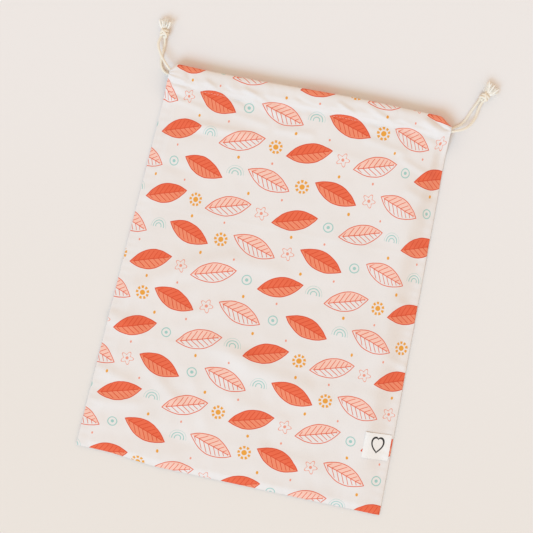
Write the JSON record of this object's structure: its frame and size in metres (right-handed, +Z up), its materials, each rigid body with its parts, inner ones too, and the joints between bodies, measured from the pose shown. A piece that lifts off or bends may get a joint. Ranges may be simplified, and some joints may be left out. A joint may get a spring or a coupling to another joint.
{
  "type": "drawstring gift pouch",
  "caption": "Flat printed-cotton drawstring pouch with a sewn casing along its mouth, a cord pulled from each side ending in a knot and tassel, and a small side label.",
  "frame": {"origin": "on the surface the pouch lies on, under the middle of the sewn pouch", "axes": "+X towards the side the label is sewn into, +Y from the bottom seam to the mouth, +Z up out of the printed front"},
  "size_m": [0.3377, 0.4323, 0.0132],
  "materials": {
    "printed_cotton": "plain-woven white cotton with a coral, amber and mint print",
    "seam_cotton": "raw, overlocked reverse of the white cotton",
    "cotton_cord": "twisted natural cotton cord, matte",
    "label_tape": "plain off-white cotton tape"
  },
  "bodies": {
    "pouch": {"front_panel": "printed_cotton", "back_panel": "printed_cotton", "left_side_seam": "seam_cotton", "right_side_seam": "seam_cotton", "bottom_seam": "seam_cotton", "front_casing": "printed_cotton", "back_casing": "printed_cotton"},
    "left_draw": {"left_cord_run": "cotton_cord", "left_front_tail": "cotton_cord", "left_back_tail": "cotton_cord", "left_knot": "cotton_cord", "left_tassel": "cotton_cord", "right_front_casing_end": "printed_cotton", "right_back_casing_end": "printed_cotton"},
    "right_draw": {"right_cord_run": "cotton_cord", "right_front_tail": "cotton_cord", "right_back_tail": "cotton_cord", "right_knot": "cotton_cord", "right_tassel": "cotton_cord", "left_front_casing_end": "printed_cotton", "left_back_casing_end": "printed_cotton"},
    "label": {"side_label": "label_tape"}
  },
  "joints": [
    {"name": "left_pull", "type": "slide", "parent": "pouch", "child": "left_draw", "axis": [-1, 0, 0], "range_m": [0, 0.09], "deforming": ["front_casing", "back_casing"]},
    {"name": "right_pull", "type": "slide", "parent": "pouch", "child": "right_draw", "axis": [1, 0, 0], "range_m": [0, 0.09], "deforming": ["front_casing", "back_casing"]},
    {"name": "label_flip", "type": "hinge", "parent": "pouch", "child": "label", "pos_m": [0.1503, -0.129, 0.0023], "axis": [-0.0336, 0.9994, 0], "range_deg": [0, 165]}
  ]
}
